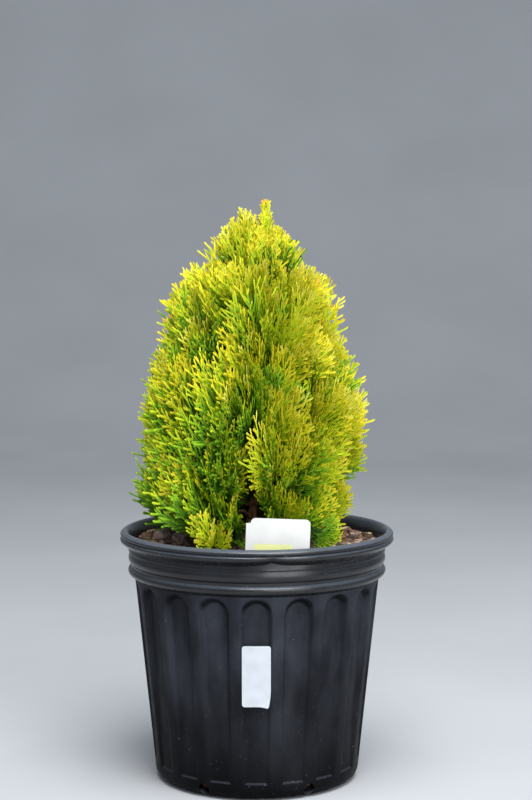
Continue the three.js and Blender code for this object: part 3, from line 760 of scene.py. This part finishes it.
LIMBS = [limbs_of(Room(tier, i)) for tier in range(len(TIERS)) for i in range(TIERS[tier]["masses"])]
STRINGS = (420, 5, (1, 1, 0.12))
BARK = speckled("thuja_bark", 0.85, STRINGS, [
    (0.32, (104, 68, 47)), (0.5, (158, 108, 75)), (0.68, (202, 154, 114)),
], STRINGS, 0.5, 0.6)
wood = new_piece("trunk_and_boughs", build_wood(), [BARK], 60)
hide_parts("trunk", *nodes_named("bough_"))


# Twigs
# Thin brown twigs branch from each mass's stem, in columns and rows over its room. They carry the
# flat sprays of leaves.
TWIG_COLUMNS, TWIG_ROWS = 3, 3
STEM_RADIUS, TWIG_RADIUS, TWIG_TIP_RADIUS = 1.4, 1.0, 0.6
TWIG_FORK = (0.1, 0.9)
TWIG_ACROSS = 0.85
TWIG_OUT = (0.46, 0.62)
TWIG_LIFT = 0.03
TWIG_RISE = (0.85, 0.68, 0.52, 0.52, 0.52)
TWIG_DROOP = 4
TWIG_STEPS = 6


def grow_twigs(room, stem, roll):
    """Twigs from a stem: each as its line, with its place across and up the room."""
    twigs = []
    for column in range(TWIG_COLUMNS):
        for row in range(TWIG_ROWS):
            across = 2 * (column + 0.5) / TWIG_COLUMNS - 1
            up = (row + 0.5) / TWIG_ROWS
            fork = stem[round(roll(*TWIG_FORK) * (len(stem) - 1))]
            end = room.place(across * TWIG_ACROSS, up * TWIG_RISE[room.tier] + TWIG_LIFT, roll(*TWIG_OUT))
            elbow = fork.lerp(end, 0.5) - Vector((0, 0, TWIG_DROOP))
            twigs.append((bezier([fork, elbow, end], TWIG_STEPS), across, up))
    return twigs


def joined(parts, faces_at):
    """Joins parts array by array. Each part's triangles move on past the corners before them."""
    starts = np.cumsum([0] + [len(part[0]) for part in parts])
    return [np.concatenate([part[i] + start * (i == faces_at) for part, start in zip(parts, starts)])
            for i in range(len(parts[0]))]


def joined_mesh(name, parts, materials, smooth):
    """A piece joined from arrays: corners in millimetres, triangles, and a material for each."""
    verts, faces, levels = joined(parts, 1)
    mesh = bpy.data.meshes.new(name)
    mesh.vertices.add(len(verts))
    mesh.vertices.foreach_set("co", (verts * MM).astype(np.float32).ravel())
    mesh.loops.add(len(faces) * 3)
    mesh.loops.foreach_set("vertex_index", faces.astype(np.int32).ravel())
    mesh.polygons.add(len(faces))
    mesh.polygons.foreach_set("loop_start", np.arange(0, len(faces) * 3, 3, dtype=np.int32))
    piece = finish_piece(add_object(name, mesh), materials)
    mesh.polygons.foreach_set("material_index", levels.astype(np.int32))
    mesh.update(calc_edges=True)
    if smooth:
        mesh.shade_smooth()
    return piece


def rod(line, thick, thin, sides=4):
    """A slim closed rod along a line, as corners, triangles and materials."""
    spokes = [(cos(2 * pi * i / sides), sin(2 * pi * i / sides)) for i in range(sides)]
    verts, faces = [], []
    for i, point in enumerate(line):
        ahead = heading(line, i)
        across = ahead.orthogonal().normalized()
        beside = ahead.cross(across)
        radius = thick + (thin - thick) * i / (len(line) - 1)
        verts += [point + (across * x + beside * y) * radius for x, y in spokes]
    for i in range(len(line) - 1):
        for j in range(sides):
            a, b = i * sides + j, i * sides + (j + 1) % sides
            faces += [(a, b, b + sides), (a, b + sides, a + sides)]
    last = (len(line) - 1) * sides
    for j in range(1, sides - 1):
        faces += [(0, j + 1, j), (last, last + j, last + j + 1)]
    return np.array(verts), np.array(faces), np.zeros(len(faces))


# Sprays of scale leaves
# Each spray is flat, like a fern: a midrib with slim side shoots that lean forward, and short blunt
# fingers that fork off near their ends. Shoots are green inside and golden at the crown's outside.
SHOOT_WIDTH, FINGER_WIDTH = 2.0, 0.92
SHOOT_SHARES = (0, 0.45, 0.93, 1)
FINGER_SHARES = (0, 0.82, 1)
FINGER_LEAN, FINGER_CURL = (18, 36), 0.3
FORKS, MIDRIB_FORKS = (0.92, 0.8, 0.66, 0.52), (0.92, 0.86, 0.8, 0.74)
SPRAY_KINDS = 8
FANS = (-2, -1, 0, 1, 2)
FAN_WIDTH = 0.42
SPRAY_TWIST, INNER_TWIST = 1.1, 2.6
SPRAY_SAG = 0.2
LONG_SPRAY = 52
GREENNESS = 1.3
OUTLINE_SHARE = np.array([
    (255, 1.13, 0.77), (268, 1.14, 0.77), (279, 0.99, 0.79), (291, 0.87, 0.83), (303, 0.9, 0.92),
    (313, 1.02, 0.84), (335, 0.93, 0.76), (351, 0.93, 0.93), (364, 0.92, 0.87), (390, 1.04, 1.0),
    (412, 0.97, 0.87), (426, 0.96, 0.8), (443, 0.99, 0.99), (455, 0.92, 0.92), (478, 0.88, 0.83),
    (493, 0.99, 0.76), (503, 0.93, 1.04), (512, 1.02, 0.94), (521, 0.98, 1.0), (532, 0.91, 0.8),
    (548, 0.71, 0.67), (594, 0.76, 0.76),
])
SPRAY_RISE = (-0.12, 1.1)
LOOSE_SHARE = (0.85, 0.6, 0.35, 0.2, 0)
LEAF_COLOURS = {
    "deep_green": (42, 78, 15),
    "mid_green": (92, 142, 26),
    "fresh_green": (136, 182, 32),
    "yellow_green": (190, 208, 33),
    "golden": (222, 212, 40),
    "pale_gold": (226, 222, 84),
    "amber": (232, 180, 66),
}
LEAF_NAMES = list(LEAF_COLOURS)
SPIRE_FOOT = 505
SPRAY_COLOURS = {
    "shade": ("deep_green", "deep_green", "deep_green", "mid_green", "mid_green"),
    "green": ("deep_green", "mid_green", "mid_green", "fresh_green", "yellow_green"),
    "fresh": ("deep_green", "mid_green", "fresh_green", "yellow_green", "golden"),
    "gold": ("mid_green", "fresh_green", "yellow_green", "golden", "golden"),
    "bright": ("yellow_green", "yellow_green", "yellow_green", "golden", "pale_gold"),
    "amber": ("fresh_green", "yellow_green", "yellow_green", "golden", "amber"),
}


def shoot(root, angle, length, curl, shares, wave):
    """A flat line that starts at an angle and curls. Lengths are shares of the spray's length."""
    line = [root]
    for low, high in zip(shares, shares[1:]):
        u, v, w = line[-1]
        step = (high - low) * length
        turn = angle * (1 - curl * (low + high) / 2)
        lifted = w + wave * step * sin(3 * low)
        line.append((u + step * cos(turn), v + step * sin(turn), lifted))
    return line


def ribbon(line, width, glow):
    """A keeled strip along a flat line with a blunt end: centres, offsets, triangles and glow."""
    centres, offsets, faces, glows = [], [], [], []
    last = len(line) - 1
    for i, (u, v, w) in enumerate(line):
        ahead = np.array(line[min(i + 1, last)]) - np.array(line[max(i - 1, 0)])
        side = np.array([-ahead[1], ahead[0], 0])
        side = side / max(1e-9, np.linalg.norm(side))
        half = width / 2 * (0.7 if i == 0 else 1) if i < last else 0
        keel = np.array([0, 0, 0.3 * half])
        for offset in ((side * half - keel, keel, -side * half - keel) if i < last else (keel * 0,)):
            centres.append((u, v, w))
            offsets.append(offset)
    for i in range(last):
        a, b = i * 3, i * 3 + 3
        made = [(a, a + 1, b), (a + 1, a + 2, b)]
        if i < last - 1:
            made = [(a, a + 1, b + 1), (a, b + 1, b), (a + 1, a + 2, b + 2), (a + 1, b + 2, b + 1)]
        faces += made
        glows += [glow[0] + (glow[1] - glow[0]) * (i + 0.5) / last] * len(made)
    return np.array(centres), np.array(offsets), np.array(faces), np.array(glows)


def on_shoot(line, share):
    """The point at a share of a shoot's length."""
    return np.array([np.interp(share, SHOOT_SHARES, axis) for axis in zip(*line)])


def fork_off(ribbons, roll, line, along, side, reach, glow):
    """One blunt finger that leaves a shoot at a share of its length."""
    root = on_shoot(line, along)
    ahead = on_shoot(line, along + 0.05) - root
    lean = atan2(ahead[1], ahead[0]) + side * radians(roll(*FINGER_LEAN))
    finger = shoot(tuple(root), lean, reach, FINGER_CURL, FINGER_SHARES, roll(-0.5, 0.5))
    ribbons.append(ribbon(finger, FINGER_WIDTH, (glow - 0.02, glow + 0.2)))


def spray_pattern(seed, shoots, lean, reach, fingers):
    """One flat spray, drawn along +u with its length as 1. Its side shoots run nearly parallel."""
    roll = dice(seed)
    midrib = shoot((0, 0, 0), roll(-0.06, 0.06), 0.99, 0.8, SHOOT_SHARES, roll(-0.1, 0.1))
    ribbons = [ribbon(midrib, 1.0, (0.05, 0.98))]
    for i in range(shoots):
        side = 1 if i % 2 else -1
        start = 0.04 + 0.78 * i / (shoots - 1) + roll(-0.015, 0.015)
        length = (1.0 - start) * roll(*reach) + 0.04
        angle = side * radians(roll(*lean))
        line = shoot(tuple(on_shoot(midrib, start)), angle, length, 0.45, SHOOT_SHARES, roll(-0.3, 0.3))
        end = line[-1][0]
        ribbons.append(ribbon(line, 0.9, (0.08 + 0.5 * start, 0.06 + 0.86 * end)))
        for j, along in enumerate(FORKS if length > 0.3 else FORKS[:2]):
            glow = 0.04 + 0.84 * (start + (end - start) * along)
            fork_off(ribbons, roll, line, along + roll(-0.05, 0.03), 1 if (i + j) % 2 else -1,
                     roll(*fingers) * min(1, 0.4 + length), glow)
    for j, along in enumerate(MIDRIB_FORKS):
        fork_off(ribbons, roll, midrib, along, 1 if j % 2 else -1, roll(0.06, 0.09), 0.84 - 0.03 * j)
    return joined(ribbons, 2)


def pattern_set(seed, *form):
    """Sprays of one form, each drawn with its own chances."""
    return [spray_pattern(seed + 7 * i, *form) for i in range(SPRAY_KINDS)]


LONG_PATTERNS = pattern_set(101, 14, (22, 38), (0.62, 0.86), (0.08, 0.14))
LOOSE_PATTERNS = pattern_set(303, 12, (24, 44), (0.66, 0.88), (0.13, 0.22))
SHORT_PATTERNS = pattern_set(505, 8, (24, 38), (0.62, 0.86), (0.12, 0.2))
SPIRE_PATTERNS = pattern_set(707, 10, (7, 14), (0.34, 0.56), (0.06, 0.1))


def set_spray(roll, root, tip, twist, kind, patterns=None):
    """Puts a spray from its root to its tip, curved upward. Its plane stands upright but for a twist."""
    along = tip - root
    length = along.length
    patterns = patterns or (LONG_PATTERNS if length > LONG_SPRAY else SHORT_PATTERNS)
    centres, offsets, faces, glows = patterns[int(roll(0, SPRAY_KINDS - 0.01))]
    hand = 1 if roll() < 0.5 else -1
    forward = along.normalized()
    beside = Vector((-forward.y, forward.x, 0)).normalized()
    flat = Matrix.Rotation(twist, 3, forward) @ beside.cross(forward)
    third = forward.cross(flat)
    sag = Vector((0, 0, -SPRAY_SAG * length * hypot(forward.x, forward.y)))
    share = centres[:, 0] + offsets[:, 0] * SHOOT_WIDTH / length
    aside = (centres[:, 1] * length + offsets[:, 1] * SHOOT_WIDTH) * hand
    proud = centres[:, 2] * length + offsets[:, 2] * SHOOT_WIDTH
    verts = np.outer(np.ones(len(share)), root) + np.outer(share, along)
    verts += np.outer(4 * share * (1 - share), sag)
    verts += np.outer(aside, flat) + np.outer(proud, third)
    steps = np.clip(np.clip(glows + roll(-0.08, 0.05), 0, 1) ** GREENNESS * 5, 0, 4.99).astype(int)
    levels = np.array([LEAF_NAMES.index(name) for name in SPRAY_COLOURS[kind]])[steps]
    return verts, (faces if hand > 0 else faces[:, ::-1]), levels


def colouring(roll, height, side):
    """A twig's colours: greener low down, golden and sometimes amber high up. It is also greener at the
    left and more golden at the right: painted shade at the left and painted light at the right.
    """
    gold = min(1, max(0, (height - POT_TOP) / 260))
    # The side term paints the crown greener at the left and more golden at the right: painted shade and
    # painted light.
    chance = roll() - side * (0.4 - 0.24 * gold)
    if roll() < 0.05 * gold:
        return "amber"
    if chance < 0.04 + 0.62 * gold:
        return "bright"
    if chance < 0.2 + 0.75 * gold or height > SPIRE_FOOT:
        return "gold"
    if chance < 0.62 + 0.3 * gold:
        return "fresh"
    return "green"


def outline_share(place):
    """How much of the crown's reach the sprays fill, by height, at the left and at the right."""
    left, right = [np.interp(place.z, OUTLINE_SHARE[:, 0], OUTLINE_SHARE[:, side]) for side in (1, 2)]
    rightward = (place.x - crown_axis(place.z)) / crown_radius(place.z, pi / 2)
    return left + (right - left) * min(1, max(0, (1 + rightward) / 2))


def loose_twist(roll, most):
    return (roll() + roll() - 1) * most


def grow_sprays(room, twigs, roll):
    """Five sprays fan from each twig to the crown's outline, and two short ones fill in behind them."""
    parts = []
    for line, across, up in twigs:
        reach = roll(0.98, 1.02)
        twig_kind = colouring(roll, line[-1].z, line[-1].x / 100)
        for fan in FANS:
            root = line[round(roll(0.05, 0.7) * TWIG_STEPS)]
            rise = float(np.clip(up + (0.3 - 0.2 * abs(fan)) / TWIG_ROWS + roll(-0.18, 0.18), *SPRAY_RISE))
            aside = across + (fan * FAN_WIDTH + roll(-0.2, 0.2)) / TWIG_COLUMNS
            share = outline_share(room.place(aside, rise, 1))
            tip = room.place(aside, rise, share * reach * roll(0.955, 1.05))
            kind = twig_kind if roll() < 0.7 else colouring(roll, tip.z, tip.x / 100)
            loose = roll() < LOOSE_SHARE[room.tier]
            patterns = LOOSE_PATTERNS if loose and (tip - root).length > LONG_SPRAY else None
            parts.append(set_spray(roll, root, tip, loose_twist(roll, SPRAY_TWIST), kind, patterns))
        for _ in range(2):
            root = line[round(roll(0.0, 0.35) * TWIG_STEPS)]
            aside = across + roll(-1, 1) / TWIG_COLUMNS
            rise = min(0.95, max(0.05, up + roll(-0.5, 0.5) / TWIG_ROWS))
            tip = room.place(aside, rise, roll(0.5, 0.76))
            parts.append(set_spray(roll, root, tip, loose_twist(roll, INNER_TWIST), "shade"))
    return parts


TRUNK_GAP_X, TRUNK_GAP_HALF, TRUNK_GAP_FRONT, TRUNK_GAP_TOP = -5, 5, -14, POT_TOP + 40
LABEL_ROOM_LEFT, LABEL_ROOM_RIGHT, LABEL_ROOM_BACK, LABEL_ROOM_TOP = -13, 54, -103, POT_TOP + 29
MOST_SUNK, MOST_BEFORE_TRUNK = 0.02, 0.04
WIDEST = 136


def keep_clear(parts):
    """Leaves out sprays that would reach into the label or the compost, hide the trunk's foot, or
    stand out of the crown."""
    kept = []
    for verts, faces, levels in parts:
        x, y, z = verts.T
        label_room = (y < LABEL_ROOM_BACK) & (z < LABEL_ROOM_TOP)
        label_room &= (x > LABEL_ROOM_LEFT) & (x < LABEL_ROOM_RIGHT)
        radius = np.hypot(x, y)
        lift = np.where((y < -40) | (np.abs(x) < 48), 0, 0.42 * np.maximum(0, radius - 74))
        lift = np.where(x < -58, 3 + 0.3 * (-58 - x), lift)
        sunk = z < POT_TOP - 9 + lift
        before_trunk = (np.abs(x - TRUNK_GAP_X) < TRUNK_GAP_HALF) & (y < TRUNK_GAP_FRONT)
        before_trunk &= (z > POT_TOP) & (z < TRUNK_GAP_TOP)
        blocked = label_room.any() or sunk.mean() > MOST_SUNK or before_trunk.mean() > MOST_BEFORE_TRUNK
        if not (blocked or z.max() > POT_TOP + CROWN_TOP or radius.max() > WIDEST):
            kept.append((verts, faces, levels))
    return kept


LOW_TWIGS = [
    (4, (-42, -86, 252), "bright", 0, [(-73, -92, 268), (-71, -96, 277), (-63, -99, 283), (-52, -102, 287),
                                       (-42, -103, 280), (-33, -104, 273), (-25, -104, 265), (-18, -103, 258),
                                       (-58, -105, 266), (-44, -107, 268), (-30, -107, 260)]),
    (5, (50, -76, 270), "fresh", 0, [(84, -84, 262), (78, -92, 256), (68, -99, 254), (82, -88, 276)]),
    (5, (20, -48, 262), "fresh", 0, [(12, -70, 300), (20, -78, 292), (31, -84, 290), (8, -62, 312),
                                     (16, -84, 281)]),
    (4, (-16, -44, 268), "green", 1.3, [(-40, -88, 260), (-29, -92, 254), (-20, -94, 256), (-50, -80, 266)]),
    (2, (-8, 34, 258), "shade", 0, [(-14, 54, 290), (-2, 58, 288), (-22, 50, 276), (6, 52, 276),
                                    (-9, 60, 272), (-16, 62, 267), (-4, 66, 268), (-12, 74, 274),
                                    (-22, 64, 271)]),
]
BARE_TWIG = [(-8, -5, 266), (-12, -26, 283), (-22, -40, 279), (-30, -58, 270)]


def grow_low(rods):
    """Low sprays, each group on a twig of its own from a numbered limb: a golden tuft at the left,
    green ones round the label, and a screen behind the trunk. One bare twig arches to the left."""
    roll = dice(5150)
    parts = []
    rods.append(rod(bezier([Vector(point) for point in BARE_TWIG], TWIG_STEPS), 1.5, 1.0, 6))
    for limb, fork, kind, twist, tips in LOW_TWIGS:
        root = Vector(fork)
        stem = LIMBS[limb][1]
        twig = bezier([stem[4], stem[4].lerp(root, 0.5), root], TWIG_STEPS)
        rods.append(rod(twig, TWIG_RADIUS, TWIG_TIP_RADIUS))
        for tip in tips:
            patterns = LOOSE_PATTERNS if (Vector(tip) - root).length > LONG_SPRAY else None
            parts.append(set_spray(roll, root, Vector(tip), twist + loose_twist(roll, 0.5), kind, patterns))
    return parts


def plain_leaf(name, colour):
    """Waxy scale leaves of one colour."""
    material, shader = blank_material(name, 0.6)
    shader.inputs["Base Color"].default_value = paint(colour)
    shader.inputs["Specular IOR Level"].default_value = 0.25
    return material


LEAVES = [plain_leaf(name, colour) for name, colour in LEAF_COLOURS.items()]
rods = []
limbs = iter(LIMBS)
for index, tier in enumerate(TIERS):
    sprays = []
    for i in range(tier["masses"]):
        room, stem, line = next(limbs)
        roll = dice(1000 * (index + 1) + 77 * i + 5)
        twigs = grow_twigs(room, stem, roll)
        rods.append(rod(stem, STEM_RADIUS, TWIG_RADIUS))
        rods += [rod(twig, TWIG_RADIUS, TWIG_TIP_RADIUS) for twig, across, up in twigs]
        sprays += grow_sprays(room, twigs, roll)
    if tier["name"] == "skirt":
        sprays += grow_low(rods)
    foliage = joined_mesh(f"foliage_{tier['name']}_sprays", keep_clear(sprays), LEAVES, False)
    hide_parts(*nodes_named(f"foliage_{tier['name']}_"))
joined_mesh("twigs", rods, [BARK], True)


# Inner growth
# Short shaded sprays stand all round the trunk, rooted on it. They are dark, and close
# the crown behind the outer sprays.
INNER_SPRAYS = 150
INNER_RISE = (POT_TOP + 7, POT_TOP + 265)
INNER_REACH = (30, 58)


def grow_inside():
    roll = dice(424243)
    parts = []
    for i in range(INNER_SPRAYS):
        height = INNER_RISE[0] + (INNER_RISE[1] - INNER_RISE[0]) * (i + roll(0, 1)) / INNER_SPRAYS
        turn = 2.4 * i + roll(-0.3, 0.3)
        out = Vector((cos(turn), sin(turn), 0))
        root = trunk_at(height)
        reach = roll(*INNER_REACH) * (1 - 0.45 * (height - INNER_RISE[0]) / (INNER_RISE[1] - INNER_RISE[0]))
        tip = root + out * reach + Vector((0, 0, roll(0.5, 1.1) * reach))
        kind = "green" if height < POT_TOP + 80 else "shade"
        parts.append(set_spray(roll, root + out * 3, tip, loose_twist(roll, 3), kind, LONG_PATTERNS))
    return parts


joined_mesh("inner_sprays", keep_clear(grow_inside()), LEAVES, False)


# The leader and its spires
# The trunk goes on as one upright shoot, with lesser spires close round it. The leader's tip is the
# youngest growth, and bronzed.
SPIRES = [
    (9, 0, 592.5, "amber"), (7, -3, 583, "bright"), (11, 3, 580, "bright"), (-15, -3, 585, "bright"),
    (-10, 2, 583, "bright"), (-3, -6, 577, "bright"), (-25, -2, 574, "bright"), (-31, 2, 567, "bright"),
    (-36, -4, 559, "bright"), (-38, 4, 547, "gold"), (20, -4, 567, "bright"), (26, 0, 566, "bright"),
    (30, -4, 558, "bright"), (36, 2, 541, "gold"), (0, -20, 566, "bright"), (16, -21, 556, "bright"),
    (-18, -19, 560, "bright"), (-4, 24, 569, "bright"), (20, 24, 557, "bright"),
    (-21, -40, 530, "bright"), (6, -42, 534, "bright"), (27, -38, 528, "gold"), (-38, -24, 531, "gold"),
    (41, -22, 522, "bright"), (-8, -34, 548, "gold"), (20, -33, 545, "bright"),
    (-24, 40, 530, "bright"), (8, 42, 534, "gold"), (34, 32, 526, "bright"),
]
SPIRE_LENGTH, SPIRE_LEAN = 64, 0.42


def grow_spires():
    """Each spire is three narrow sprays about one line, turned from each other. The leader has more."""
    roll = dice(90210)
    parts = []
    for x, y, z, kind in SPIRES:
        tip = Vector((x, y, z))
        axis = Vector((crown_axis(z), 0, z - SPIRE_LENGTH))
        root = tip.lerp(axis, SPIRE_LEAN)
        root.z = z - SPIRE_LENGTH
        count, sway = (5, 1) if kind == "amber" else (3, 2)
        for i in range(count):
            end = tip - Vector((roll(-sway, sway), roll(-sway, sway), roll(1, 3 * sway) if i else 0.6))
            turn = pi / count * i + roll(-0.3, 0.3)
            parts.append(set_spray(roll, root, end, turn, kind, SPIRE_PATTERNS))
    return parts


leader = joined_mesh("foliage_leader_sprays", grow_spires(), LEAVES, False)
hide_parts("foliage_leader")


# Floor, light and camera
# A plain pale sweep of floor under soft daylight, seen from where the photograph was taken.
CAMERA_PLACE = (0.0093, -1.890, 0.552)
CAMERA_DOWN = radians(5)
LENS = 55
SENSOR = 23.6
SWEEP_START = 2.6
SWEEP_RADIUS = 2.4


def build_floor():
    """A sheet that lies flat and curls up behind the plant, so that no horizon shows."""
    bm = bmesh.new()
    bmesh.ops.create_grid(bm, x_segments=4, y_segments=160, size=9)
    for vert in bm.verts:
        past = vert.co.y - SWEEP_START
        if past > 0:
            turn = min(past / SWEEP_RADIUS, pi / 2)
            climb = max(0.0, past - SWEEP_RADIUS * pi / 2)
            vert.co.y = SWEEP_START + SWEEP_RADIUS * sin(turn)
            vert.co.z = SWEEP_RADIUS * (1 - cos(turn)) + climb
    floor = object_from("floor", bm)
    floor.data.shade_smooth()
    tints = [(0.3, (182, 185, 189)), (0.7, (188, 191, 195))]
    floor.data.materials.append(speckled("pale_floor", 0.9, (3, 2), tints))


def soft_light(name, place, aim, size, power):
    lamp = bpy.data.lights.new(name, "AREA")
    lamp.size = size
    lamp.energy = power
    light = add_object(name, lamp)
    light.location = place
    light.rotation_euler = (Vector(aim) - Vector(place)).to_track_quat("-Z", "Y").to_euler()


build_floor()
world = bpy.data.worlds.new("daylight")
world.use_nodes = True
sky = world.node_tree.nodes["Background"]
sky.inputs["Color"].default_value = paint((224, 232, 242))
sky.inputs["Strength"].default_value = 0.43
bpy.context.scene.world = world
soft_light("sky_panel", (0.25, -0.85, 2.3), (0, 0, 0.35), 1.6, 80)
soft_light("front_panel", (1.75, -3.7, 1.6), (0, 0, 0.3), 2.8, 86)
bpy.context.scene.view_settings.view_transform = "Standard"

camera = add_object("camera", bpy.data.cameras.new("camera"))
camera.data.lens = LENS
camera.data.sensor_width = SENSOR
camera.location = CAMERA_PLACE
camera.rotation_euler = (pi / 2 - CAMERA_DOWN, 0, 0)
bpy.context.scene.camera = camera
